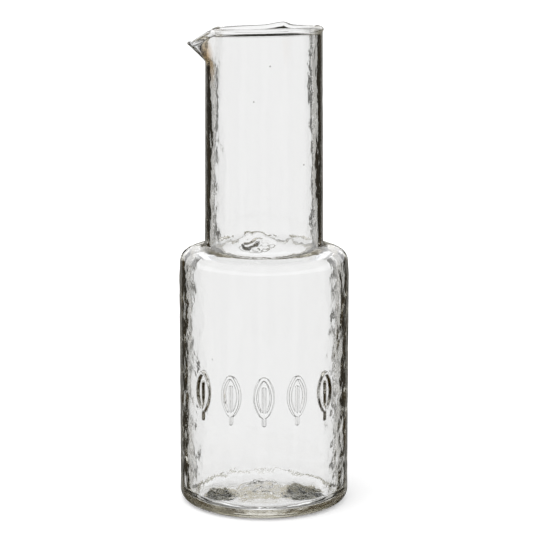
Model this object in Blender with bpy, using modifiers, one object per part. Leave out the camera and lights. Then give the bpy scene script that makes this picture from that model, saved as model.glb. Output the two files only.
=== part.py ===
# A clear carafe blown in one piece of thick, softly hammered glass: a heavy base, a straight body,
# a rounded shoulder, a narrower straight neck, a fire-polished rim and a spout pulled out of the rim.
# Each region of the glass is an object of its own, and a fine seam parts it from the next one.
# Metres, +Z up. The origin is the middle of the base, on the surface that the carafe stands on.
# The spout points to -X, and the raised leaves face -Y.
import math

import bmesh
import bpy
from mathutils import Vector

# Body
BODY_RADIUS = 0.0430
BODY_WALL = 0.0046
WALL_HEIGHT = 0.1005  # straight wall between the base and the shoulder

# Base
BASE_HEIGHT = 0.0160  # from the table up to the straight wall
HEEL_ROUNDING = 0.0048
FLOOR_THICKNESS = 0.0083  # glass between the table and the middle of the hollow
FLOOR_FILLET = 0.0048
FLOOR_CROWN = 0.0047  # how far the middle of the floor stands above its edge
FLOOR_PEAK_ROUNDING = 0.0060  # how wide the floor rounds over in the middle
PUNT_RADIUS = 0.0345  # the shallow hollow pressed into the underside
PUNT_DEPTH = 0.0020

# Shoulder: the wall leans in to a corner, which is rounded, and a slope climbs to the neck
SHOULDER_LEAN = 0.0008
SHOULDER_RISE = 0.0123  # from the straight wall up to the corner
SHOULDER_SLOPE_RISE = 0.0022  # from the corner up to the foot of the neck
SHOULDER_COLLAR = 0.0041  # from the foot of the neck up to the neck's own tube
SHOULDER_ROUNDING = 0.0057
SHOULDER_THICKNESS = 0.0022
SHOULDER_FOOT_THICKNESS = 0.0004  # the same at the neck's foot, between the two corners before they round
SHOULDER_INNER_ROUNDING = 0.0042

# Neck
NECK_LENGTH = 0.1110  # from its foot on the shoulder's slope up to the rim's crest at its mean height
NECK_FOOT_RADIUS = 0.0299
NECK_TAPER = 0.0008  # how much smaller the neck's radius is at the rim
NECK_WALL = 0.0042
NECK_FILLET = 0.0040
NECK_INNER_FILLET = 0.0046

# Rim: an oval bead, thicker than the wall, on a mouth that leans a little as handwork does
RIM_BAND = 0.0095  # depth of the band that carries the bead
RIM_BEAD_HALF_HEIGHT = 0.00175
RIM_BEAD_PROUD = 0.0005  # how far the bead stands out of the wall, outside and inside
RIM_LEAN = 0.0016  # how far the mouth's highest side stands above its mean height
RIM_LEAN_TURN = math.radians(-70)  # where that side is: towards the leaves and away from the spout
RIM_SWELL = 0.0015  # a low hump in the rim, opposite the leaves
RIM_SWELL_TURN = math.radians(69)
RIM_SWELL_SPREAD = math.radians(14)
RIM_SWELL_FALL_SHARE = 0.5  # its side towards +X is this much shorter

# Spout
SPOUT_DEPTH = 0.0174  # from the rim's mean height down to where the spout leaves the neck
SPOUT_HALF_TURN = math.radians(32)
SPOUT_REACH = 0.0090  # how far the tip stands out of the neck
SPOUT_DROP = 0.0080  # how far the lip falls towards the tip, below the rim beside the spout
SPOUT_DROP_CURVE = 1.7  # above 1, most of that fall is near the tip
SPOUT_CURL = 0.0013  # how far the lip turns up again at the very tip
SPOUT_CURL_TURN = math.radians(3.2)
SPOUT_LIP = 0.0022  # thickness of the pulled lip at its tip
SPOUT_TIP_TURN = math.radians(3.5)  # rounding of the tip, seen from above
SPOUT_ROOT_BEND_SHARE = 0.07  # part of the spout's height over which it leaves the wall
SPOUT_TURN = math.pi

# Raised leaves on the front of the body
LEAF_COUNT = 5
LEAF_STEP = math.radians(22.5)
LEAF_FACING = math.radians(-90)
LEAF_RISE = 0.0474  # from the foot of the straight wall up to the middle of a leaf
LEAF_HALF_LENGTH = 0.0105  # measured along the middle of the raised line
LEAF_HALF_WIDTH = 0.0041
LEAF_TIP_ROUNDING = 0.0017
LEAF_LINE_RADIUS = 0.00115
LEAF_PROUD = 0.0010  # height of the raised line over the wall
LEAF_STEM = 0.0034  # how far the middle vein runs on below the leaf
LEAF_VEIN_REACH = 0.0046  # how far the middle vein runs above the leaf's centre
LEAF_VEIN_RADIUS = 0.00095

# Heights above the table that follow from these
BODY_TOP = BASE_HEIGHT + WALL_HEIGHT
SHOULDER_CORNER_HEIGHT = BODY_TOP + SHOULDER_RISE
NECK_FOOT_HEIGHT = SHOULDER_CORNER_HEIGHT + SHOULDER_SLOPE_RISE
SHOULDER_TOP = NECK_FOOT_HEIGHT + SHOULDER_COLLAR
TOTAL_HEIGHT = NECK_FOOT_HEIGHT + NECK_LENGTH
SPOUT_ROOT_HEIGHT = TOTAL_HEIGHT - SPOUT_DEPTH
LEAF_CENTRE_HEIGHT = BASE_HEIGHT + LEAF_RISE

# Seam between two regions, and facets
SEAM = 0.0003
CUT_OVERRUN = 0.0050  # how far a cutter runs past what it cuts
TURN_STEPS = 64
ARC_STEPS = 5
FLOOR_STEPS = 7
TIP_STEPS = 4
BEAD_STEPS = 8
SPOUT_STEPS = 20
SPOUT_RISE_STEPS = 5
MERGE = 0.00001
SHARP_ANGLE = math.radians(40)

# Glass
GLASS_TINT = (0.93, 0.95, 0.92, 1.0)
GLASS_ROUGHNESS = 0.03
GLASS_IOR = 1.5


def neck_radius(height):
    """Outer radius of the neck, which narrows evenly from its foot to the rim."""
    return NECK_FOOT_RADIUS - NECK_TAPER * (height - NECK_FOOT_HEIGHT) / NECK_LENGTH


def arc(centre, radius, start, end, steps):
    """Points on an arc from one angle to another, both ends included."""
    points = []
    for i in range(steps + 1):
        angle = start + (end - start) * i / steps
        points.append((centre[0] + radius * math.cos(angle), centre[1] + radius * math.sin(angle)))
    return points


def rounded_path(corners, steps):
    """A path through (radius, height, rounding) corners, each rounded with its own arc."""
    path = [corners[0][:2]]
    for before, corner, after in zip(corners, corners[1:], corners[2:]):
        here = Vector(corner[:2])
        back = (Vector(before[:2]) - here).normalized()
        ahead = (Vector(after[:2]) - here).normalized()
        half = back.angle(ahead) / 2
        rounding = corner[2]
        centre = here + (back + ahead).normalized() * rounding / math.sin(half)
        first = here + back * rounding / math.tan(half) - centre
        last = here + ahead * rounding / math.tan(half) - centre
        start = math.atan2(first.y, first.x)
        sweep = math.remainder(math.atan2(last.y, last.x) - start, 2 * math.pi)
        path += arc(centre, rounding, start, start + sweep, steps)
    path.append(corners[-1][:2])
    return path


def glass(name):
    """Clear glass for one region."""
    material = bpy.data.materials.new(name + "_glass")
    material.use_nodes = True
    surface = material.node_tree.nodes["Principled BSDF"]
    surface.inputs["Base Color"].default_value = GLASS_TINT
    surface.inputs["Metallic"].default_value = 0.0
    surface.inputs["Roughness"].default_value = GLASS_ROUGHNESS
    surface.inputs["IOR"].default_value = GLASS_IOR
    surface.inputs["Transmission Weight"].default_value = 1.0
    material.diffuse_color = GLASS_TINT
    return material


def add_object(name, mesh, collection):
    """An object of this mesh, in its collection."""
    made = bpy.data.objects.new(name, mesh)
    collection.objects.link(made)
    return made


def finish(made):
    """Gives a region its own glass."""
    made.data.materials.append(glass(made.name))
    return made


def turned(name, profile, collection, ring):
    """A profile turned round the upright axis: closed for a ring, from axis to axis for a solid."""
    mesh = bpy.data.meshes.new(name)
    count = len(profile)
    edges = [(i, i + 1) for i in range(count - 1)]
    if ring:
        edges.append((count - 1, 0))
    mesh.from_pydata([(radius, 0, height) for radius, height in profile], edges, [])
    made = add_object(name, mesh, collection)
    screw = made.modifiers.new("turn", "SCREW")
    screw.steps = TURN_STEPS
    screw.render_steps = TURN_STEPS
    screw.use_merge_vertices = True
    screw.merge_threshold = MERGE
    screw.use_smooth_shade = True
    return made


def lofted(name, sections, collection):
    """A skin over closed sections that have the same number of points, with its two ends capped."""
    shape = bmesh.new()
    loops = [[shape.verts.new(point) for point in section] for section in sections]
    count = len(loops[0])
    for here, ahead in zip(loops, loops[1:]):
        for i in range(count):
            j = (i + 1) % count
            shape.faces.new((here[i], here[j], ahead[j], ahead[i]))
    shape.faces.new(loops[0])
    shape.faces.new(loops[-1])
    bmesh.ops.recalc_face_normals(shape, faces=shape.faces)
    mesh = bpy.data.meshes.new(name)
    shape.to_mesh(mesh)
    shape.free()
    mesh.shade_smooth()
    mesh.set_sharp_from_angle(angle=SHARP_ANGLE)
    return add_object(name, mesh, collection)


def floor_rows():
    """Points of the floor inside: it falls from a rounded middle to its edge, and a fillet meets the wall."""
    inner_radius = BODY_RADIUS - BODY_WALL
    edge_radius = inner_radius - FLOOR_FILLET
    edge_height = FLOOR_THICKNESS - FLOOR_CROWN
    lean = math.atan2(FLOOR_CROWN, edge_radius)
    fillet = arc(
        (edge_radius, edge_height + FLOOR_FILLET), FLOOR_FILLET, -math.pi / 2 - lean, 0, ARC_STEPS
    )
    whole = math.hypot(fillet[0][0], FLOOR_PEAK_ROUNDING) - FLOOR_PEAK_ROUNDING
    rows = []
    for i in range(FLOOR_STEPS):
        radius = fillet[0][0] * i / FLOOR_STEPS
        fall = (math.hypot(radius, FLOOR_PEAK_ROUNDING) - FLOOR_PEAK_ROUNDING) / whole
        rows.append((radius, FLOOR_THICKNESS + (fillet[0][1] - FLOOR_THICKNESS) * fall))
    return rows + fillet


def make_base(collection):
    """The heavy base: hollow above, with a rounded heel and a shallow punt below."""
    inner_radius = BODY_RADIUS - BODY_WALL
    top = BASE_HEIGHT - SEAM / 2
    outer = [(BODY_RADIUS, top)]
    outer += arc((BODY_RADIUS - HEEL_ROUNDING, HEEL_ROUNDING), HEEL_ROUNDING, 0, -math.pi / 2, ARC_STEPS)
    punt = []
    for i in range(ARC_STEPS + 1):
        share = 1 - i / ARC_STEPS
        punt.append((PUNT_RADIUS * share, PUNT_DEPTH * (1 - share**2)))
    profile = floor_rows() + [(inner_radius, top)] + outer + punt
    return finish(turned("base", profile, collection, ring=False))


def leaf_outline():
    """The leaf's pointed oval, round its centre, as (across, up) points of a closed line."""
    side_centre = (LEAF_HALF_LENGTH**2 - LEAF_HALF_WIDTH**2) / (2 * LEAF_HALF_WIDTH)
    side_radius = side_centre + LEAF_HALF_WIDTH
    tip_centre = math.sqrt((side_radius - LEAF_TIP_ROUNDING) ** 2 - side_centre**2)
    lean = math.atan2(tip_centre, side_centre)
    right = arc((-side_centre, 0), side_radius, -lean, lean, 2 * ARC_STEPS)
    top = arc((0, tip_centre), LEAF_TIP_ROUNDING, lean, math.pi - lean, TIP_STEPS)
    half = right[:-1] + top[:-1]
    return half + [(-across, -up) for across, up in half]


def raised_line(name, points, radius, turn, cyclic, collection):
    """A round line along (across, up) points, wrapped round the body and standing LEAF_PROUD of it."""
    curve = bpy.data.curves.new(name, "CURVE")
    curve.dimensions = "3D"
    curve.bevel_depth = radius
    curve.bevel_resolution = 2
    curve.use_fill_caps = True
    line = curve.splines.new("POLY")
    line.points.add(len(points) - 1)
    line.use_cyclic_u = cyclic
    reach = BODY_RADIUS + LEAF_PROUD - radius
    for point, (across, up) in zip(line.points, points):
        angle = LEAF_FACING + turn + across / BODY_RADIUS
        point.co = (reach * math.cos(angle), reach * math.sin(angle), LEAF_CENTRE_HEIGHT + up, 1)
    guide = add_object(name + "_line", curve, collection)
    graph = bpy.context.evaluated_depsgraph_get()
    mesh = bpy.data.meshes.new_from_object(guide.evaluated_get(graph))
    mesh.name = name
    bpy.data.objects.remove(guide)
    shape = bmesh.new()
    shape.from_mesh(mesh)
    bmesh.ops.remove_doubles(shape, verts=shape.verts, dist=MERGE)
    bmesh.ops.recalc_face_normals(shape, faces=shape.faces)
    shape.to_mesh(mesh)
    shape.free()
    made = add_object(name, mesh, collection)
    made.hide_render = True
    made.display_type = "WIRE"
    return made


def make_body_wall(collection, relief):
    """The straight wall of the body, with the raised leaves of the same glass."""
    low = BASE_HEIGHT + SEAM / 2
    high = BODY_TOP - SEAM / 2
    inner_radius = BODY_RADIUS - BODY_WALL
    profile = [(BODY_RADIUS, high), (BODY_RADIUS, low), (inner_radius, low), (inner_radius, high)]
    wall = finish(turned("body_wall", profile, collection, ring=True))
    outline = leaf_outline()
    vein = [(0, -LEAF_HALF_LENGTH - LEAF_STEM), (0, LEAF_VEIN_REACH)]
    for i in range(LEAF_COUNT):
        turn = LEAF_STEP * (i - (LEAF_COUNT - 1) / 2)
        raised_line(f"leaf_{i + 1}", outline, LEAF_LINE_RADIUS, turn, True, relief)
        raised_line(f"vein_{i + 1}", vein, LEAF_VEIN_RADIUS, turn, False, relief)
    join = wall.modifiers.new("leaves", "BOOLEAN")
    join.operation = "UNION"
    join.operand_type = "COLLECTION"
    join.collection = relief
    return wall


def make_shoulder(collection):
    """The shoulder: it rounds over and climbs to the neck, and the inside follows at its own thickness."""
    outer = rounded_path(
        [
            (BODY_RADIUS, BODY_TOP + SEAM / 2),
            (BODY_RADIUS - SHOULDER_LEAN, SHOULDER_CORNER_HEIGHT, SHOULDER_ROUNDING),
            (NECK_FOOT_RADIUS, NECK_FOOT_HEIGHT, NECK_FILLET),
            (neck_radius(SHOULDER_TOP), SHOULDER_TOP - SEAM / 2),
        ],
        ARC_STEPS,
    )
    inner = rounded_path(
        [
            (BODY_RADIUS - BODY_WALL, BODY_TOP + SEAM / 2),
            (
                BODY_RADIUS - SHOULDER_LEAN - BODY_WALL,
                SHOULDER_CORNER_HEIGHT - SHOULDER_THICKNESS,
                SHOULDER_INNER_ROUNDING,
            ),
            (NECK_FOOT_RADIUS - NECK_WALL, NECK_FOOT_HEIGHT - SHOULDER_FOOT_THICKNESS, NECK_INNER_FILLET),
            (neck_radius(SHOULDER_TOP) - NECK_WALL, SHOULDER_TOP - SEAM / 2),
        ],
        ARC_STEPS,
    )
    return finish(turned("shoulder", outer[::-1] + inner, collection, ring=True))


def make_neck_wall(collection, cutters):
    """The neck's tube up to the rim band, with the notch that the spout fills."""
    low = SHOULDER_TOP + SEAM / 2
    high = TOTAL_HEIGHT - RIM_BAND - SEAM / 2
    profile = [
        (neck_radius(high), high),
        (neck_radius(low), low),
        (neck_radius(low) - NECK_WALL, low),
        (neck_radius(high) - NECK_WALL, high),
    ]
    wall = finish(turned("neck_wall", profile, collection, ring=True))
    reach = NECK_FOOT_RADIUS + CUT_OVERRUN
    shape = bmesh.new()
    corners = [(0, 0, SPOUT_ROOT_HEIGHT)]
    for side in (-1, 1):
        angle = SPOUT_TURN + side * SPOUT_HALF_TURN
        stretch = reach / math.cos(SPOUT_HALF_TURN)
        corners.append((stretch * math.cos(angle), stretch * math.sin(angle), SPOUT_ROOT_HEIGHT))
    floor = shape.faces.new([shape.verts.new(corner) for corner in corners])
    raised = bmesh.ops.extrude_face_region(shape, geom=[floor])
    lifted = [item for item in raised["geom"] if isinstance(item, bmesh.types.BMVert)]
    bmesh.ops.translate(shape, verts=lifted, vec=(0, 0, SPOUT_DEPTH + CUT_OVERRUN))
    bmesh.ops.recalc_face_normals(shape, faces=shape.faces)
    mesh = bpy.data.meshes.new("spout_notch")
    shape.to_mesh(mesh)
    shape.free()
    notch = add_object("spout_notch", mesh, cutters)
    notch.hide_render = True
    notch.display_type = "WIRE"
    cut = wall.modifiers.new("spout_notch", "BOOLEAN")
    cut.operation = "DIFFERENCE"
    cut.object = notch
    return wall


def crest_height(turn):
    """Height of the rim's crest at a turn from +X, without the spout."""
    lean = RIM_LEAN * math.cos(turn - RIM_LEAN_TURN)
    from_swell = math.remainder(turn - RIM_SWELL_TURN, 2 * math.pi) / RIM_SWELL_SPREAD
    if from_swell < 0:
        from_swell /= RIM_SWELL_FALL_SHARE
    return TOTAL_HEIGHT + lean + RIM_SWELL * math.exp(-(from_swell**2))


def spout_share(turn):
    """1 at the spout's tip, falling evenly to 0 at its two sides, with the tip rounded."""
    away = abs(math.remainder(turn - SPOUT_TURN, 2 * math.pi))
    rounded = math.hypot(away, SPOUT_TIP_TURN) - SPOUT_TIP_TURN
    whole = math.hypot(SPOUT_HALF_TURN, SPOUT_TIP_TURN) - SPOUT_TIP_TURN
    return max(0, 1 - rounded / whole)


def lip_height(turn):
    """Height of the top of the glass at a turn from +X: the rim's crest, and the lip of the spout."""
    from_tip = math.remainder(turn - SPOUT_TURN, 2 * math.pi) / SPOUT_CURL_TURN
    fall = SPOUT_DROP * spout_share(turn) ** SPOUT_DROP_CURVE
    return crest_height(turn) - fall + SPOUT_CURL * math.exp(-(from_tip**2))


def lip_section(turn, foot):
    """The wall's closed section at a turn from +X, from a height up over the bead and back down inside."""
    pull = spout_share(turn) ** 2
    half_height = RIM_BEAD_HALF_HEIGHT + (SPOUT_LIP / 2 - RIM_BEAD_HALF_HEIGHT) * pull
    proud = RIM_BEAD_PROUD * (1 - pull)
    middle = lip_height(turn) - half_height
    bend = SPOUT_ROOT_BEND_SHARE

    def radii(height):
        rise = max(0, (height - SPOUT_ROOT_HEIGHT) / (middle - SPOUT_ROOT_HEIGHT))
        bent = (math.hypot(rise, bend) - bend) / (math.hypot(1, bend) - bend)
        outer = neck_radius(height) + SPOUT_REACH * pull * bent
        return outer, outer - NECK_WALL - (SPOUT_LIP - NECK_WALL) * pull * rise

    outside, inside = radii(middle)
    half_width = (outside - inside) / 2 + proud
    start = -math.acos(1 - proud / half_width)
    bead_foot = middle + half_height * math.sin(start)
    heights = [foot + (bead_foot - foot) * i / SPOUT_RISE_STEPS for i in range(SPOUT_RISE_STEPS)]
    section = [(radii(height)[0], height) for height in heights]
    for across, up in arc((0, 0), 1, start, math.pi - start, BEAD_STEPS):
        section.append(((outside + inside) / 2 + half_width * across, middle + half_height * up))
    section += [(radii(height)[1], height) for height in reversed(heights)]
    return [Vector((radius * math.cos(turn), radius * math.sin(turn), height)) for radius, height in section]


def make_rim(collection):
    """The band round the mouth with its bead, from one side of the spout round to the other."""
    sections = []
    steps = TURN_STEPS - SPOUT_STEPS // 2
    span = 2 * math.pi - 2 * SPOUT_HALF_TURN
    for i in range(steps + 1):
        turn = SPOUT_TURN + SPOUT_HALF_TURN + span * i / steps
        sections.append(lip_section(turn, TOTAL_HEIGHT - RIM_BAND + SEAM / 2))
    return finish(lofted("rim", sections, collection))


def make_spout(collection):
    """The spout: the wall pulled outward and down to a thin lip, in the notch of the neck and the rim."""
    half = SPOUT_HALF_TURN - SEAM / (neck_radius(TOTAL_HEIGHT) - NECK_WALL)
    sections = []
    for i in range(SPOUT_STEPS + 1):
        turn = SPOUT_TURN + half * (2 * i / SPOUT_STEPS - 1)
        sections.append(lip_section(turn, SPOUT_ROOT_HEIGHT + SEAM))
    return finish(lofted("pouring_spout", sections, collection))


def main():
    for old in list(bpy.data.objects):
        bpy.data.objects.remove(old)
    collections = []
    for name in ("carafe", "cutters", "relief"):
        collection = bpy.data.collections.new(name)
        bpy.context.scene.collection.children.link(collection)
        collections.append(collection)
    carafe, cutters, relief = collections
    make_base(carafe)
    make_body_wall(carafe, relief)
    make_shoulder(carafe)
    make_neck_wall(carafe, cutters)
    make_rim(carafe)
    make_spout(carafe)


main()
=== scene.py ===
import math

import bmesh
import bpy
import numpy as np
from mathutils import Matrix, Vector, noise


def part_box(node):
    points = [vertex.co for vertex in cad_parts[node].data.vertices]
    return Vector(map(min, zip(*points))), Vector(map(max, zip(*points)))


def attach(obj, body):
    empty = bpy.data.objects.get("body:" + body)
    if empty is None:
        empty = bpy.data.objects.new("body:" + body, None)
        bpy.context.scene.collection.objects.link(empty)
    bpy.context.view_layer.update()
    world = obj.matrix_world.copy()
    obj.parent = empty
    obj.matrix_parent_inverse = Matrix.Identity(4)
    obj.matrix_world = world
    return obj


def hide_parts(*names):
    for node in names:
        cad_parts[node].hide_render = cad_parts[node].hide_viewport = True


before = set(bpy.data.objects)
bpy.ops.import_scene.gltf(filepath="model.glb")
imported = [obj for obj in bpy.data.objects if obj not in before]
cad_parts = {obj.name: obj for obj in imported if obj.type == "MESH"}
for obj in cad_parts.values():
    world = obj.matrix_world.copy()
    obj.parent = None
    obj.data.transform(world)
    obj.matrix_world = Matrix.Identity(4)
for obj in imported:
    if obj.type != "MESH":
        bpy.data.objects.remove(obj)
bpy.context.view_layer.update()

# A clear carafe of thick hammered glass. The six packed regions are dressed as one unbroken skin.
scene = bpy.context.scene
scene.view_settings.view_transform = "Standard"
scene.cycles.max_bounces = 32  # light runs a long way inside thick glass
scene.cycles.glossy_bounces = 32
scene.cycles.transmission_bounces = 24
print("frame:", len(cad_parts), "regions of glass")


# Camera: in front of the carafe and a little above it

photoView = {
    "distance": 1.10,  # from the carafe's axis, in metres
    "height": 0.3475,
    "tiltDown": 11.65,  # degrees
    "focalPixels": 2217,
    "framePixels": 533,
    "axisPixel": 264.0,  # column of the frame that the carafe's axis stands on
    "sensorWidth": 36,  # millimetres
}


def makeCamera():
    lens = bpy.data.cameras.new("photoCamera")
    lens.sensor_width = photoView["sensorWidth"]
    lens.lens = photoView["focalPixels"] / photoView["framePixels"] * lens.sensor_width
    camera = bpy.data.objects.new("photoCamera", lens)
    scene.collection.objects.link(camera)
    camera.location = (0, -photoView["distance"], photoView["height"])
    offCentre = photoView["framePixels"] / 2 - photoView["axisPixel"]
    turnRight = math.atan(offCentre / photoView["focalPixels"])
    camera.rotation_euler = (math.radians(90 - photoView["tiltDown"]), 0, -turnRight)
    scene.camera = camera


makeCamera()
print("camera placed")


# The skin's rows and columns. A row is a ring at one place along the upright section, which runs up
# the outside, over the bead and down the inside; a column is the section at one turn from +X.

skin = {
    "outerStep": 0.0015,  # metres between rows
    "innerStep": 0.0034,
    "floorStep": 0.0012,
    "curveStep": 0.0009,
    "footStep": 0.0030,
    "puntRows": 8,
    "heelRows": 9,
    "cornerRows": 12,
    "beadRows": 16,
    "arcSteps": 24,
    "firstTurn": math.pi / 2,  # the first column stands at the back
    "columnTurn": math.radians(1.8),
    "spoutColumnTurn": math.radians(1.0),
    "spoutFineTurn": math.radians(16),
    "leafCuts": 3,  # cuts through each edge of the grid at the leaves
}


def stepsBetween(low, high, step):
    return max(1, round((high - low) / step))


def arcPoints(centre, radius, start, end, steps):
    points = []
    for i in range(steps + 1):
        angle = start + (end - start) * i / steps
        points.append((centre[0] + radius * math.cos(angle), centre[1] + radius * math.sin(angle)))
    return points


def roundedPath(corners):
    # corners are (radius, height, rounding); the first and the last are left sharp
    path = [corners[0][:2]]
    for before, corner, after in zip(corners, corners[1:], corners[2:]):
        here = Vector(corner[:2])
        back = (Vector(before[:2]) - here).normalized()
        ahead = (Vector(after[:2]) - here).normalized()
        half = back.angle(ahead) / 2
        rounding = corner[2]
        centre = here + (back + ahead).normalized() * rounding / math.sin(half)
        first = here + back * rounding / math.tan(half) - centre
        last = here + ahead * rounding / math.tan(half) - centre
        start = math.atan2(first.y, first.x)
        sweep = math.remainder(math.atan2(last.y, last.x) - start, 2 * math.pi)
        path += arcPoints(centre, rounding, start, start + sweep, skin["arcSteps"])
    path.append(corners[-1][:2])
    return path


def evenly(points, step):
    # the same path with its points spread evenly, about a step apart, both ends kept
    points = np.array(points, float)
    lengths = np.hypot(*np.diff(points, axis=0).T)
    along = np.concatenate([[0], np.cumsum(lengths)])
    wanted = np.linspace(0, along[-1], stepsBetween(0, along[-1], step) + 1)
    return list(zip(np.interp(wanted, along, points[:, 0]), np.interp(wanted, along, points[:, 1])))


def smoothStep(value, low, high):
    share = np.clip((np.asarray(value, float) - low) / (high - low), 0, 1)
    return share * share * (3 - 2 * share)


# Body: punt, heel, straight wall and domed floor. The frame gives where it starts and ends.

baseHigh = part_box("base")[1]
wallLow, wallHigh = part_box("body_wall")
seam = wallLow.z - baseHigh.z

body = {
    "radius": baseHigh.x,
    "foot": baseHigh.z + seam / 2,
    "top": wallHigh.z + seam / 2,
    "wall": 0.0046,
    "heelRounding": 0.0048,
    "floorThickness": 0.0083,
    "floorFillet": 0.0048,
    "floorCrown": 0.0047,
    "floorPeakRounding": 0.0060,
    "puntRadius": 0.0345,
    "puntDepth": 0.0020,
}


def footRows():
    # from the middle of the punt out to the straight wall
    rows = []
    for i in range(skin["puntRows"] + 1):
        share = i / skin["puntRows"]
        rows.append((body["puntRadius"] * share, body["puntDepth"] * (1 - share**2)))
    heel = body["heelRounding"]
    inside = body["radius"] - heel
    rows += evenly([(body["puntRadius"], 0), (inside, 0)], skin["footStep"])[1:]
    rows += arcPoints((inside, heel), heel, -math.pi / 2, 0, skin["heelRows"])[1:]
    return rows


def wallRows():
    ends = [(body["radius"], body["heelRounding"]), (body["radius"], body["top"])]
    return evenly(ends, skin["outerStep"])


def floorRows():
    # down the inside of the body, round its corner, and up to the floor's rounded middle
    inside = body["radius"] - body["wall"]
    fillet = body["floorFillet"]
    middle = body["floorThickness"]
    edge = middle - body["floorCrown"]
    peak = body["floorPeakRounding"]
    rows = evenly([(inside, body["top"]), (inside, edge + fillet)], skin["innerStep"])[1:]
    lean = math.atan2(body["floorCrown"], inside - fillet)
    corner = (inside - fillet, edge + fillet)
    rows += arcPoints(corner, fillet, 0, -math.pi / 2 - lean, skin["cornerRows"])[1:]
    footRadius, footHeight = rows[-1]
    whole = math.hypot(footRadius, peak) - peak
    cone = []
    for i in range(skin["arcSteps"] + 1):
        radius = footRadius * (1 - i / skin["arcSteps"])
        fall = (math.hypot(radius, peak) - peak) / whole
        cone.append((radius, middle + (footHeight - middle) * fall))
    return rows + evenly(cone, skin["floorStep"])[1:]


# Shoulder: thinner glass, rounding over and climbing to the neck

shoulder = {
    "lean": 0.0008,
    "rise": 0.0123,
    "slopeRise": 0.0022,
    "top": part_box("shoulder")[1].z + seam / 2,
    "rounding": 0.0057,
    "thickness": 0.0022,
    "footThickness": 0.0004,
    "innerRounding": 0.0042,
}
shoulder["corner"] = body["top"] + shoulder["rise"]


def shoulderRows():
    corner = body["radius"] - shoulder["lean"]
    rows = roundedPath(
        [
            (body["radius"], body["top"]),
            (corner, shoulder["corner"], shoulder["rounding"]),
            (neck["footRadius"], neck["foot"], neck["fillet"]),
            (neckRadius(shoulder["top"]), shoulder["top"]),
        ]
    )
    return evenly(rows, skin["curveStep"])


def innerShoulderRows():
    foot = (neck["footRadius"] - neck["wall"], neck["foot"] - shoulder["footThickness"])
    corner = body["radius"] - shoulder["lean"] - body["wall"]
    rows = roundedPath(
        [
            (neckRadius(shoulder["top"]) - neck["wall"], shoulder["top"]),
            (*foot, neck["innerFillet"]),
            (corner, shoulder["corner"] - shoulder["thickness"], shoulder["innerRounding"]),
            (body["radius"] - body["wall"], body["top"]),
        ]
    )
    return evenly(rows, skin["curveStep"])


# Neck: a tube that narrows a little upward

neck = {
    "foot": shoulder["corner"] + shoulder["slopeRise"],
    "footRadius": 0.0299,
    "taper": 0.0008,
    "length": 0.1110,
    "wall": 0.0042,
    "fillet": 0.0040,
    "innerFillet": 0.0046,
}
neck["crest"] = neck["foot"] + neck["length"]


def neckRadius(height):
    return neck["footRadius"] - neck["taper"] * (height - neck["foot"]) / neck["length"]


# Rim: a fire-polished bead. The mouth leans, and has a low swell at the back right.

rim = {
    "top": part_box("rim")[1].z,
    "halfHeight": 0.00175,  # of the oval bead
    "proud": 0.0005,
    "lean": 0.0016,  # the mouth's highest side stands this far above its mean height
    "leanTurn": math.radians(-70),
    "swell": 0.0015,
    "swellTurn": math.radians(69),
    "swellSpread": math.radians(14),
    "swellFallShare": 0.5,  # spread of its steeper side, as a share of the other's
}


def crestHeight(turn):
    lean = rim["lean"] * math.cos(turn - rim["leanTurn"])
    fromSwell = math.remainder(turn - rim["swellTurn"], 2 * math.pi) / rim["swellSpread"]
    if fromSwell < 0:
        fromSwell /= rim["swellFallShare"]
    return min(neck["crest"] + lean + rim["swell"] * math.exp(-(fromSwell**2)), rim["top"])


# Spout: the rim pulled out and down to a thin lip

spout = {
    "root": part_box("pouring_spout")[0].z - seam,
    "turn": math.pi,
    "halfTurn": math.radians(32),
    "reach": 0.0090,
    "drop": 0.0080,
    "dropCurve": 1.7,  # higher keeps the fall closer to the tip
    "curl": 0.0013,  # the lip turns up again at its very tip
    "curlTurn": math.radians(3.2),
    "lip": 0.0022,
    "tipTurn": math.radians(3.5),
    "rootBendShare": 0.07,  # how softly the wall bends outward at the root
}


def spoutShare(turn):
    # 1 at the spout's tip, falling to 0 at its two sides
    away = abs(math.remainder(turn - spout["turn"], 2 * math.pi))
    rounded = math.hypot(away, spout["tipTurn"]) - spout["tipTurn"]
    whole = math.hypot(spout["halfTurn"], spout["tipTurn"]) - spout["tipTurn"]
    return max(0, 1 - rounded / whole)


def lipHeight(turn):
    # top of the glass: the rim's crest, and the lip of the spout
    fromTip = math.remainder(turn - spout["turn"], 2 * math.pi) / spout["curlTurn"]
    fall = spout["drop"] * spoutShare(turn) ** spout["dropCurve"]
    return crestHeight(turn) - fall + spout["curl"] * math.exp(-(fromTip**2))


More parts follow.
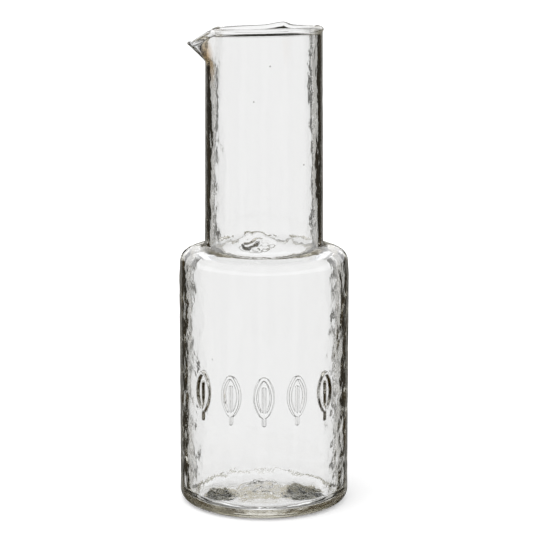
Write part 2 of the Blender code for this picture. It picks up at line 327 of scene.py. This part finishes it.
def neckRows(turn):
    # up the outside of the neck, over the bead, and down the inside
    pull = spoutShare(turn) ** 2
    halfHeight = rim["halfHeight"] + (spout["lip"] / 2 - rim["halfHeight"]) * pull
    proud = rim["proud"] * (1 - pull)
    middle = lipHeight(turn) - halfHeight
    bend = spout["rootBendShare"]
    foot, root = shoulder["top"], spout["root"]
    curlTop = foot + neckCurl["halfHeight"] + neckCurl["rise"]

    def radii(height):
        rise = max(0, (height - root) / (middle - root))
        bent = (math.hypot(rise, bend) - bend) / (math.hypot(1, bend) - bend)
        outer = neckRadius(height) + spout["reach"] * pull * bent
        return outer, outer - neck["wall"] - (spout["lip"] - neck["wall"]) * pull * rise

    outside, inside = radii(middle)
    halfWidth = (outside - inside) / 2 + proud
    start = -math.acos(1 - proud / halfWidth)
    beadFoot = middle + halfHeight * math.sin(start)
    low = np.linspace(foot, root, stepsBetween(foot, root, skin["outerStep"]) + 1)[1:]
    highSteps = stepsBetween(root, neck["crest"], skin["outerStep"])
    high = np.linspace(root, beadFoot, highSteps + 1)[1:-1]
    rows = [(radii(z)[0], z) for z in [*low, *high]]
    for across, up in arcPoints((0, 0), 1, start, math.pi - start, skin["beadRows"]):
        rows.append(((outside + inside) / 2 + halfWidth * across, middle + halfHeight * up))
    inner = np.linspace(root, curlTop, stepsBetween(curlTop, root, skin["innerStep"]) + 1)[1:]
    curlSteps = stepsBetween(foot, curlTop, skin["curveStep"])
    curl = np.linspace(curlTop, foot, curlSteps + 1)[1:-1]
    return rows + [(radii(z)[1], z) for z in [*high[::-1], root, *inner, *curl]]


def columnTurns():
    # once round; closer together at the spout
    turns = []
    turn = skin["firstTurn"]
    while turn < skin["firstTurn"] + 2 * math.pi - skin["columnTurn"] / 2:
        turns.append(turn)
        near = abs(math.remainder(turn - spout["turn"], 2 * math.pi)) < skin["spoutFineTurn"]
        turn += skin["spoutColumnTurn"] if near else skin["columnTurn"]
    return turns


# Raised leaves: a pointed oval with a middle vein, in the glass of the front

leaves = {
    "count": 5,
    "step": math.radians(22.5),
    "facing": math.radians(-90),
    "rise": 0.0474,  # of their middle above the foot of the wall
    "halfLength": 0.0105,
    "halfWidth": 0.0041,
    "tipRounding": 0.0017,
    "proud": 0.0010,
    "lineHalfWidth": 0.00125,
    "veinHalfWidth": 0.00105,
    "steepness": 2.2,  # higher gives the raised lines steeper sides and a flatter top
    "stem": 0.0034,
    "veinReach": 0.0046,
    "margin": 0.0030,  # finer skin reaches this far past the leaves
    "sideSteps": 60,
    "tipSteps": 16,
}


def leafOutline():
    length, width, tip = leaves["halfLength"], leaves["halfWidth"], leaves["tipRounding"]
    sideCentre = (length**2 - width**2) / (2 * width)
    sideRadius = sideCentre + width
    tipCentre = math.sqrt((sideRadius - tip) ** 2 - sideCentre**2)
    lean = math.atan2(tipCentre, sideCentre)
    side = arcPoints((-sideCentre, 0), sideRadius, -lean, lean, leaves["sideSteps"])
    top = arcPoints((0, tipCentre), tip, lean, math.pi - lean, leaves["tipSteps"])
    half = side[:-1] + top[:-1]
    return np.array(half + [(-across, -up) for across, up in half])


def leafHeight(turns, heights):
    # how far the raised lines stand out of the wall at each point
    stood = np.zeros(len(turns))
    outline = leafOutline()
    top = leaves["veinReach"]
    bottom = -leaves["halfLength"] - leaves["stem"]
    up = heights - body["foot"] - leaves["rise"]
    for i in range(leaves["count"]):
        facing = leaves["facing"] + leaves["step"] * (i - (leaves["count"] - 1) / 2)
        off = np.remainder(turns - facing + math.pi, 2 * math.pi) - math.pi
        across = off * body["radius"]
        near = np.hypot(across[:, None] - outline[:, 0], up[:, None] - outline[:, 1]).min(axis=1)
        vein = np.hypot(across, up - np.clip(up, bottom, top))
        for away, halfWidth in ((near, leaves["lineHalfWidth"]), (vein, leaves["veinHalfWidth"])):
            fall = np.clip(away / halfWidth, 0, 1) ** leaves["steepness"]
            stood = np.maximum(stood, leaves["proud"] * (1 - fall))
    return stood


def leafBand():
    # middle height, half height and half turn of the wall's part that the leaves take up
    halfHeight = leaves["halfLength"] + leaves["stem"] + leaves["margin"]
    halfTurn = leaves["step"] * (leaves["count"] - 1) / 2
    halfTurn += (leaves["halfWidth"] + leaves["margin"]) / body["radius"]
    return body["foot"] + leaves["rise"], halfHeight, halfTurn


# Hammering: shallow dimples all over the outside, with a fine grain

hammering = {
    "cell": 0.0052,  # width of a dimple
    "stretch": 1.25,  # dimples are this much taller than wide
    "depth": (0.00034, 0.00020),  # on the body, on the neck
    "softness": 7.0,  # higher leaves sharper ridges between dimples
    "middleGap": -0.12,  # soft distance, in cells, where a dimple is deepest
    "ridgeGap": 0.50,  # and where its ridge starts
    "grain": 0.0019,
    "grainDepth": (0.00012, 0.00005),
    "heelFade": (0.0035, 0.0110),  # sets in between these heights
    "heelRowFade": (-6, 4),  # and between these rows, counted from the end of the heel
    "crestFade": (0.0030, 0.0120),  # sets in between these distances below the crest
    "leafCalm": 0.8,  # share of it that the raised lines smooth away
}


def dimpleDepth(point):
    # 0 on the ridges between dimples, 1 in the middle of a dimple
    place = Vector((point.x, point.y, point.z / hammering["stretch"])) / hammering["cell"]
    softness, middleGap = hammering["softness"], hammering["middleGap"]
    nearness = sum(math.exp(-softness * gap) for gap in noise.voronoi(place)[0])
    soft = -math.log(nearness) / softness
    return min(1, max(0, 1 - (soft - middleGap) / (hammering["ridgeGap"] - middleGap)))


def outerRelief(point):
    zone = 0 if point.z < body["top"] else 1
    grain = (noise.noise(point / hammering["grain"]) + 1) / 2
    return -hammering["depth"][zone] * dimpleDepth(point) - hammering["grainDepth"][zone] * grain


# Waves: slow unevenness on the inside, where the glass was blown

waves = {
    "width": 0.0130,
    "height": 0.0340,
    "depth": 0.00024,
    "start": 9,  # place in the noise, in heights of a wave
    "finer": 2.7,  # a second set is this much finer
    "finerStart": (4, 4, 4),
    "finerShare": 0.35,  # and this deep, as a share of the first
    "crestFade": (0.0020, 0.0160),  # sets in between these distances below the crest
}


def innerRelief(point):
    across = (point.x / waves["width"], point.y / waves["width"])
    place = Vector((*across, point.z / waves["height"] + waves["start"]))
    slow = noise.noise(place)
    quick = noise.noise(place * waves["finer"] + Vector(waves["finerStart"]))
    return waves["depth"] * (slow + waves["finerShare"] * quick)


# Rough marks in the floor: two crackled patches, and a smoother one between them

floorMarks = {
    "places": (  # middle of each mark, its half sizes along X and Y, and how high its relief is
        ((-0.0220, -0.0140), (0.0075, 0.0075), 0.0020),
        ((0.0195, -0.0115), (0.0105, 0.0085), 0.0020),
        ((-0.0020, -0.0100), (0.0140, 0.0100), 0.0005),
    ),
    "cell": 0.0027,
    "reach": 1.3,  # in half sizes
    "edge": 0.6,
    "swell": 0.8,  # share of the relief that the whole mark stands up by
}


def floorRelief(point):
    relief = 0
    for (x, y), (wide, deep), amount in floorMarks["places"]:
        within = floorMarks["reach"] - math.hypot((point.x - x) / wide, (point.y - y) / deep)
        if within > 0:
            rough = floorMarks["swell"] + noise.noise(point / floorMarks["cell"])
            relief += amount * float(smoothStep(within, 0, floorMarks["edge"])) * rough
    return relief


# Curl of thicker glass inside the foot of the neck

neckCurl = {
    "turn": math.radians(-98.4),
    "halfTurn": math.radians(22),
    "rise": 0.0020,  # of its middle above the foot of the straight neck
    "halfHeight": 0.0040,
    "cell": 0.0044,
    "depth": 0.0054,
    "edge": 0.4,
}


def curlRelief(point):
    across = math.remainder(math.atan2(point.y, point.x) - neckCurl["turn"], 2 * math.pi)
    up = point.z - shoulder["top"] - neckCurl["rise"]
    within = 1 - math.hypot(across / neckCurl["halfTurn"], up / neckCurl["halfHeight"])
    if within < 0:
        return 0
    bulge = abs(noise.noise(point / neckCurl["cell"]))
    return neckCurl["depth"] * float(smoothStep(within, 0, neckCurl["edge"])) * bulge


# Seeds: small bubbles of air caught in the wall

seeds = {
    "places": (  # middle and radius
        ((0.0029, -0.0276, 0.2255), 0.00040),
        ((-0.0049, -0.0273, 0.2081), 0.00036),
        ((0.0190, -0.0200, 0.1761), 0.00040),
    ),
    "roundness": 2,
}


def addSeeds(shape):
    for middle, radius in seeds["places"]:
        place = Matrix.Translation(middle)
        ball = bmesh.ops.create_icosphere(
            shape, subdivisions=seeds["roundness"], radius=radius, matrix=place
        )
        faces = {face for point in ball["verts"] for face in point.link_faces}
        bmesh.ops.reverse_faces(shape, faces=list(faces))


# Glass skin: a grid over rows and columns, cut finer at the leaves, then laid on the shape


def buildSections(turns):
    # (radius, height) of each row at each turn, and the rows where the regions end
    foot = footRows()
    lower = foot + wallRows()[1:] + shoulderRows()[1:]
    upper = innerShoulderRows() + floorRows()
    sections = np.array([lower + neckRows(turn) + upper for turn in turns])
    crest = int(np.argmax(sections[0, :, 1]))
    return sections, {"foot": len(foot), "shoulder": len(lower), "crest": crest}


def outwardFrom(sections):
    # outward direction of each row in its own upright section
    ahead = np.roll(sections, -1, axis=1)
    behind = np.roll(sections, 1, axis=1)
    ahead[:, -1] = sections[:, -1]
    behind[:, 0] = sections[:, 0]
    along = ahead - behind
    along /= np.maximum(np.hypot(along[..., 0], along[..., 1]), 1e-9)[..., None]
    return np.stack([along[..., 1], -along[..., 0]], axis=-1)


def makeGrid(columns, rows):
    # closed all round and at both middles; a point's X and Y still hold its column and its row
    shape = bmesh.new()
    grid = []
    for column in range(columns):
        grid.append([shape.verts.new((column, row, 0)) for row in range(1, rows - 1)])
    for column in range(columns):
        here, there = grid[column], grid[(column + 1) % columns]
        for row in range(rows - 3):
            shape.faces.new((here[row], there[row], there[row + 1], here[row + 1]))
    for end, first in ((0, True), (-1, False)):
        pole = shape.verts.new((0, 0 if first else rows - 1, 0))
        for column in range(columns):
            pair = (grid[column][end], grid[(column + 1) % columns][end])
            shape.faces.new((pole, *pair[::-1]) if first else (pole, *pair))
    return shape


def cutAtLeaves(shape, sections, turns, ends):
    middle, halfHeight, halfTurn = leafBand()
    fine = set()
    for face in shape.faces:
        column = int(min(point.co.x for point in face.verts))
        row = int(min(point.co.y for point in face.verts))
        offHeight = abs(sections[column, row, 1] - middle)
        offTurn = abs(math.remainder(turns[column] - leaves["facing"], 2 * math.pi))
        if row < ends["shoulder"] and offHeight < halfHeight and offTurn < halfTurn:
            fine.add(face)
    edges = [edge for edge in shape.edges if not fine.isdisjoint(edge.link_faces)]
    bmesh.ops.subdivide_edges(shape, edges=edges, cuts=skin["leafCuts"], use_grid_fill=True)


def layOnShape(shape, sections, turns, ends):
    # moves each point from its column and row to its place in the glass, with all relief
    columns, rows = sections.shape[:2]
    column, row = np.array([point.co[:2] for point in shape.verts]).T
    low = np.floor(column).astype(int)
    nextLow = (low + 1) % columns
    part = column - low
    rowLow = np.minimum(np.floor(row).astype(int), rows - 2)
    rowPart = (row - rowLow)[:, None]

    def between(values):
        here = values[low, rowLow] * (1 - rowPart) + values[low, rowLow + 1] * rowPart
        there = values[nextLow, rowLow] * (1 - rowPart) + values[nextLow, rowLow + 1] * rowPart
        return here * (1 - part)[:, None] + there * part[:, None]

    turnList = np.array(turns + [turns[0] + 2 * math.pi])
    turn = turnList[low] * (1 - part) + turnList[low + 1] * part
    radius, height = between(sections).T
    normal = between(outwardFrom(sections))

    belowCrest = neck["crest"] - height
    outside = row < ends["crest"]
    hammered = smoothStep(height, *hammering["heelFade"]) * outside
    hammered *= smoothStep(row - ends["foot"], *hammering["heelRowFade"])
    hammered *= smoothStep(belowCrest, *hammering["crestFade"])
    waved = ~outside * smoothStep(belowCrest, *waves["crestFade"])
    middle, halfHeight = leafBand()[:2]
    atLeaves = (row < ends["shoulder"]) & (np.abs(height - middle) < halfHeight)
    relief = np.zeros(len(row))
    relief[atLeaves] = leafHeight(turn[atLeaves], height[atLeaves])
    hammered *= 1 - hammering["leafCalm"] * np.clip(relief / leaves["proud"], 0, 1)
    for i, (r, t, z) in enumerate(zip(radius, turn, height)):
        point = Vector((r * math.cos(t), r * math.sin(t), z))
        if hammered[i] > 0:
            relief[i] += hammered[i] * outerRelief(point)
        if waved[i] > 0:
            relief[i] += waved[i] * innerRelief(point)
            atFloor = z < body["floorThickness"]
            relief[i] += floorRelief(point) if atFloor else curlRelief(point)

    radius = radius + normal[:, 0] * relief
    height = height + normal[:, 1] * relief
    for point, r, t, z in zip(shape.verts, radius, turn, height):
        point.co = (r * math.cos(t), r * math.sin(t), z)


def buildSkin():
    turns = columnTurns()
    sections, ends = buildSections(turns)
    columns, rows = sections.shape[:2]
    print("skin:", columns, "columns of", rows, "rows")
    shape = makeGrid(columns, rows)
    cutAtLeaves(shape, sections, turns, ends)
    layOnShape(shape, sections, turns, ends)
    bmesh.ops.recalc_face_normals(shape, faces=shape.faces)
    addSeeds(shape)
    mesh = bpy.data.meshes.new("carafeGlass")
    shape.to_mesh(mesh)
    shape.free()
    mesh.shade_smooth()
    skinned = bpy.data.objects.new("carafeGlass", mesh)
    scene.collection.objects.link(skinned)
    triangles = sum(len(face.vertices) - 2 for face in mesh.polygons)
    print("skin:", len(mesh.vertices), "points,", triangles, "triangles")
    return skinned


# Clear glass, a little warm where it is thick, with fine ripples left by the mould

clearGlass = {
    "tint": (0.980, 0.982, 0.986, 1),
    "ior": 1.5,
    "rippleScale": 420,
    "rippleDetail": 2,
    "rippleStretch": (1, 1, 0.7),
    "rippleDepth": 0.00006,
    "roughness": (0.0, 0.02),
    "hazeScale": 60,
    "hazeRange": (0.45, 0.75),  # values of the noise between which the roughness rises
    "depthColour": (0.90, 0.885, 0.82, 1),
    "depthDensity": 14,
    "cloudScale": 420,  # of the ragged edges of the tones below
}

# Painted reflections in the glass: a painted amber reflection near the spout, and painted dark
# reflections over the rough marks in the floor. Each is full within the first share of its half
# size, and gone past the second.
paintedDarkReflection = {"colour": (0.15, 0.15, 0.135, 1), "edge": (0.60, 0.95), "ragged": 0.7}
paintedReflections = (
    # painted amber reflection near the spout
    {
        "middle": (-0.0280, -0.0080, 0.2250),
        "halfSize": (0.0068, 0.0105, 0.0150),
        "colour": (0.55, 0.36, 0.17, 1),
        "edge": (0.15, 1.0),
        "ragged": 0.1,
    },
    # painted dark reflections over the rough marks in the floor
    {"middle": (-0.0225, -0.0175, 0.0070), "halfSize": (0.0088, 0.0120, 0.0060), **paintedDarkReflection},
    {"middle": (0.0198, -0.0155, 0.0070), "halfSize": (0.0118, 0.0125, 0.0060), **paintedDarkReflection},
)


def addNode(tree, kind, **settings):
    node = tree.nodes.new(kind)
    for name, value in settings.items():
        setattr(node, name, value)
    return node


def addNoise(tree, place, scale):
    clouds = addNode(tree, "ShaderNodeTexNoise")
    clouds.inputs["Scale"].default_value = scale
    tree.links.new(place, clouds.inputs["Vector"])
    return clouds


def addFade(tree, value, ends, start, finish, **settings):
    # start below the first end and finish above the second
    node = addNode(tree, "ShaderNodeMapRange", **settings)
    node.inputs["From Min"].default_value, node.inputs["From Max"].default_value = ends
    node.inputs["To Min"].default_value, node.inputs["To Max"].default_value = start, finish
    tree.links.new(value, node.inputs["Value"])
    return node.outputs["Result"]


def addRipples(tree, place, surface):
    stretch = addNode(tree, "ShaderNodeMapping")
    stretch.inputs["Scale"].default_value = clearGlass["rippleStretch"]
    tree.links.new(place, stretch.inputs["Vector"])
    ripples = addNoise(tree, stretch.outputs["Vector"], clearGlass["rippleScale"])
    ripples.inputs["Detail"].default_value = clearGlass["rippleDetail"]
    bump = addNode(tree, "ShaderNodeBump")
    bump.inputs["Distance"].default_value = clearGlass["rippleDepth"]
    tree.links.new(ripples.outputs["Fac"], bump.inputs["Height"])
    tree.links.new(bump.outputs["Normal"], surface.inputs["Normal"])


# paints the reflections above into the glass's base colour
def addPaintedReflections(tree, place, surface):
    clouds = addNoise(tree, place, clearGlass["cloudScale"]).outputs["Fac"]
    tone = addNode(tree, "ShaderNodeRGB")
    tone.outputs["Color"].default_value = clearGlass["tint"]
    colour = tone.outputs["Color"]
    for paintedPatch in paintedReflections:
        fromMiddle = addNode(tree, "ShaderNodeMapping", vector_type="TEXTURE")
        fromMiddle.inputs["Location"].default_value = paintedPatch["middle"]
        fromMiddle.inputs["Scale"].default_value = paintedPatch["halfSize"]
        tree.links.new(place, fromMiddle.inputs["Vector"])
        length = addNode(tree, "ShaderNodeVectorMath", operation="LENGTH")
        tree.links.new(fromMiddle.outputs["Vector"], length.inputs[0])
        away = addNode(tree, "ShaderNodeMath", operation="MULTIPLY_ADD")
        tree.links.new(clouds, away.inputs[0])
        away.inputs[1].default_value = paintedPatch["ragged"]
        tree.links.new(length.outputs["Value"], away.inputs[2])
        ends = [edge + paintedPatch["ragged"] / 2 for edge in paintedPatch["edge"]]
        away = away.outputs["Value"]
        share = addFade(tree, away, ends, 1, 0, interpolation_type="SMOOTHSTEP")
        mix = addNode(tree, "ShaderNodeMix", data_type="RGBA")
        mix.inputs["B"].default_value = paintedPatch["colour"]
        tree.links.new(colour, mix.inputs["A"])
        tree.links.new(share, mix.inputs["Factor"])
        colour = mix.outputs["Result"]
    tree.links.new(colour, surface.inputs["Base Color"])


def makeClearGlass():
    material = bpy.data.materials.new("clearHammeredGlass")
    material.use_nodes = True
    tree = material.node_tree
    surface = tree.nodes["Principled BSDF"]
    surface.inputs["Transmission Weight"].default_value = 1
    surface.inputs["IOR"].default_value = clearGlass["ior"]
    place = addNode(tree, "ShaderNodeTexCoord").outputs["Object"]
    addRipples(tree, place, surface)
    addPaintedReflections(tree, place, surface)
    haze = addNoise(tree, place, clearGlass["hazeScale"]).outputs["Fac"]
    dull = addFade(tree, haze, clearGlass["hazeRange"], *clearGlass["roughness"])
    tree.links.new(dull, surface.inputs["Roughness"])
    depth = addNode(tree, "ShaderNodeVolumeAbsorption")
    depth.inputs["Color"].default_value = clearGlass["depthColour"]
    depth.inputs["Density"].default_value = clearGlass["depthDensity"]
    tree.links.new(depth.outputs["Volume"], tree.nodes["Material Output"].inputs["Volume"])
    return material


glass = buildSkin()
glass.data.materials.append(makeClearGlass())
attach(glass, "root")
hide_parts("base", "body_wall", "shoulder", "neck_wall", "rim", "pouring_spout")
print("glass skin in place")


# Tent: white panels with dark gaps, the same from every side. What the glass shows of it depends on
# how the light came through: straight across the hollow, mirrored inside the wall, or thrown back
# by the surface. Angles are in degrees. A pair under high or low holds the two heights above or
# below the horizon between which that light changes.

tent = {
    "panels": 8,
    "hollowCrossings": 3,  # light that crossed more surfaces than this passed the hollow
    "farCrossings": 5,  # and than this, more glass besides
    "across": {  # straight across the hollow
        "halfAngle": 18.6,  # from the middle of a white panel to its edge
        "softness": 3.0,
        "panel": 0.97,
        "gap": 0.015,
        "high": (2.0, 7.0),
        "highLight": 0.1,
        "low": (34.0, 44.0),
        "lowLight": 0.25,
        "steep": (42.0, 54.0),  # the pale ground takes over below these
        "steepLight": 0.80,
    },
    "once": {"high": (6.0, 24.0), "low": (30.0, 45.0)},  # across, and mirrored once in the wall
    "often": {  # across, and mirrored more often
        "light": (0.60, 1.25),  # level or from below, and from above
        "high": (14.0, 30.0),
        "low": (34.0, 42.0),
        "lowLight": 0.2,
    },
    "far": {"light": (0.72, 0.10), "high": (16.0, 23.0)},  # across and mirrored: level, from above
    "bead": {  # straight through one wall or the bead
        "high": (4.0, 9.0),
        "highLight": 0.02,
        "low": (28.0, 40.0),
        "lowLight": 0.1,
    },
    "wall": {  # along the wall, and mirrored once
        "halfAngle": 7.0,
        "softness": 2.0,
        "panel": 0.50,
        "gap": 0.015,
        "low": (25.0, 60.0),
        "lowLight": 0.7,
    },
    "heel": {  # along the wall, and mirrored more often
        "panels": 4,
        "halfAngle": 19.0,
        "softness": 6.0,
        "panel": 1,
        "gap": 0.02,
        "light": (0.05, 0.95),  # level, and steeper
        "high": (14.0, 22.0),
        "low": (17.0, 22.0),
    },
    "mirror": {  # thrown back by the surface
        "halfAngle": 14.0,
        "softness": 4.0,
        "panel": 0.05,
        "gap": 0.30,
        "above": 1.7,
        "high": (0.0, 8.0),
        "top": (26.0, 40.0),
        "topLight": 0.3,
        "low": (20.0, 30.0),
    },
    "warmth": (1.0, 1.01, 1.06),  # powers of the light in red, green and blue: the darks turn warm
    "cream": (0.0, 0.12, 0.42),  # added to those powers for light mirrored often
}


def makeTent():
    world = bpy.data.worlds.new("tent")
    scene.world = world
    world.use_nodes = True
    tree = world.node_tree
    seen = addNode(tree, "ShaderNodeLightPath").outputs
    split = addNode(tree, "ShaderNodeSeparateXYZ")
    toward = addNode(tree, "ShaderNodeTexCoord").outputs["Generated"]
    tree.links.new(toward, split.inputs["Vector"])

    def maths(operation, *values):
        node = addNode(tree, "ShaderNodeMath", operation=operation)
        for socket, value in zip(node.inputs, values):
            if isinstance(value, (int, float)):
                socket.default_value = value
            else:
                tree.links.new(value, socket)
        return node.outputs["Value"]

    def fade(value, ends, start=1.0, finish=0.0):
        return addFade(tree, value, ends, start, finish, interpolation_type="SMOOTHSTEP")

    def both(*values):
        product = values[0]
        for value in values[1:]:
            product = maths("MULTIPLY", product, value)
        return product

    def without(mask):
        return maths("SUBTRACT", 1, mask)

    def fromPanel(panels):
        # degrees from the middle of the nearest panel
        turn = maths("ARCTAN2", split.outputs["X"], split.outputs["Y"])
        return both(maths("PINGPONG", turn, math.pi / panels), math.degrees(1))

    def panelFade(angle, kind):
        half, soft = kind["halfAngle"], kind["softness"] / 2
        return fade(angle, (half - soft, half + soft), kind["panel"], kind["gap"])

    away = fromPanel(tent["panels"])
    up = both(maths("ARCSINE", split.outputs["Z"]), math.degrees(1))
    down = both(up, -1)

    # how the light came; counts are whole numbers, so the halves part them
    crossed = seen["Transmission Depth"]
    mirrored = seen["Glossy Depth"]
    hollow = maths("GREATER_THAN", crossed, tent["hollowCrossings"] + 0.5)
    farther = maths("GREATER_THAN", crossed, tent["farCrossings"] + 0.5)
    straight = maths("LESS_THAN", mirrored, 0.5)
    once = maths("COMPARE", mirrored, 1, 0.5)
    often = maths("GREATER_THAN", mirrored, 1.5)
    alongWall = without(hollow)
    thrownBack = both(seen["Is Glossy Ray"], without(seen["Is Transmission Ray"]))

    # what each kind of light shows
    kind = tent["across"]
    acrossLight = both(
        panelFade(away, kind),
        fade(up, kind["high"], 1, kind["highLight"]),
        fade(down, kind["low"], 1, kind["lowLight"]),
    )
    acrossLight = maths("MAXIMUM", acrossLight, fade(down, kind["steep"], 0, kind["steepLight"]))
    onceLight = both(fade(up, tent["once"]["high"]), fade(down, tent["once"]["low"]))
    kind = tent["often"]
    oftenFall = fade(down, kind["low"], 1, kind["lowLight"])
    oftenLight = both(fade(up, kind["high"], *kind["light"]), oftenFall)
    farLight = fade(up, tent["far"]["high"], *tent["far"]["light"])
    kind = tent["bead"]
    beadFall = fade(down, kind["low"], 1, kind["lowLight"])
    beadLight = both(fade(up, kind["high"], 1, kind["highLight"]), beadFall)
    kind = tent["heel"]
    facing = panelFade(fromPanel(kind["panels"]), kind)
    fromAbove = both(fade(up, kind["high"], 0, 1), facing)
    steeper = maths("ADD", fromAbove, fade(down, kind["low"], 0, 1))
    heelLight = fade(steeper, (0, 1), *kind["light"])
    kind = tent["wall"]
    lowLight = both(fade(down, kind["low"], 0, kind["lowLight"]), facing)
    wallLight = maths("ADD", panelFade(away, kind), lowLight)
    kind = tent["mirror"]
    fromAbove = fade(up, kind["high"], 0, kind["above"])
    fromAbove = both(fromAbove, fade(up, kind["top"], 1, kind["topLight"]))
    mirrorLight = maths("MAXIMUM", panelFade(away, kind), fromAbove)
    mirrorLight = both(mirrorLight, fade(down, kind["low"]))

    light = both(hollow, straight, acrossLight)
    for mask, value in (
        (both(hollow, once), onceLight),
        (both(hollow, often), oftenLight),
        (both(alongWall, straight), beadLight),
        (both(alongWall, once), wallLight),
        (both(alongWall, often), heelLight),
    ):
        light = maths("ADD", light, both(mask, value))
    light = maths("MAXIMUM", light, both(farther, without(straight), farLight))
    light = maths("ADD", both(light, without(thrownBack)), both(mirrorLight, thrownBack))
    for white in ("Is Camera Ray", "Is Diffuse Ray"):
        light = maths("MAXIMUM", light, seen[white])
    join = addNode(tree, "ShaderNodeCombineColor")
    for channel, power, cream in zip(join.inputs, tent["warmth"], tent["cream"]):
        tree.links.new(maths("POWER", light, maths("ADD", power, both(often, cream))), channel)
    tree.links.new(join.outputs["Color"], tree.nodes["Background"].inputs["Color"])


makeTent()
print("tent up")


# Floor: pale and plain; only its shadow shows

ground = {
    "size": 8.0,
    "drop": 0.0002,
    "colour": (0.88, 0.88, 0.88, 1),
    "roughness": 0.9,
    "glow": 0.30,  # lifts it to white for the camera alone
}


def makeFloor():
    half = ground["size"] / 2
    mesh = bpy.data.meshes.new("floor")
    corners = [(-half, -half, 0), (half, -half, 0), (half, half, 0), (-half, half, 0)]
    mesh.from_pydata(corners, [], [(0, 1, 2, 3)])
    floor = bpy.data.objects.new("floor", mesh)
    scene.collection.objects.link(floor)
    floor.location.z = -ground["drop"]
    floor.visible_transmission = False
    floor.visible_glossy = False
    material = bpy.data.materials.new("paleFloor")
    material.use_nodes = True
    tree = material.node_tree
    surface = tree.nodes["Principled BSDF"]
    surface.inputs["Base Color"].default_value = ground["colour"]
    surface.inputs["Roughness"].default_value = ground["roughness"]
    surface.inputs["Specular IOR Level"].default_value = 0
    surface.inputs["Emission Color"].default_value = (1, 1, 1, 1)
    seen = addNode(tree, "ShaderNodeLightPath")
    glow = addNode(tree, "ShaderNodeMath", operation="MULTIPLY")
    glow.inputs[1].default_value = ground["glow"]
    tree.links.new(seen.outputs["Is Camera Ray"], glow.inputs[0])
    tree.links.new(glow.outputs["Value"], surface.inputs["Emission Strength"])
    mesh.materials.append(material)


# Softbox: one soft light from above, to the left and in front

softbox = {
    "power": 6.0,
    "size": 0.9,
    "place": (-0.5, -0.3, 1.5),
    "aim": (0, 0, 0.1),
}


def makeSoftbox():
    light = bpy.data.lights.new("softbox", "AREA")
    light.energy = softbox["power"]
    light.size = softbox["size"]
    lamp = bpy.data.objects.new("softbox", light)
    scene.collection.objects.link(lamp)
    lamp.location = softbox["place"]
    toAim = Vector(softbox["aim"]) - lamp.location
    lamp.rotation_euler = toAim.to_track_quat("-Z", "Y").to_euler()
    lamp.visible_camera = False
    lamp.visible_glossy = False
    lamp.visible_transmission = False


makeFloor()
makeSoftbox()
print("studio lit")
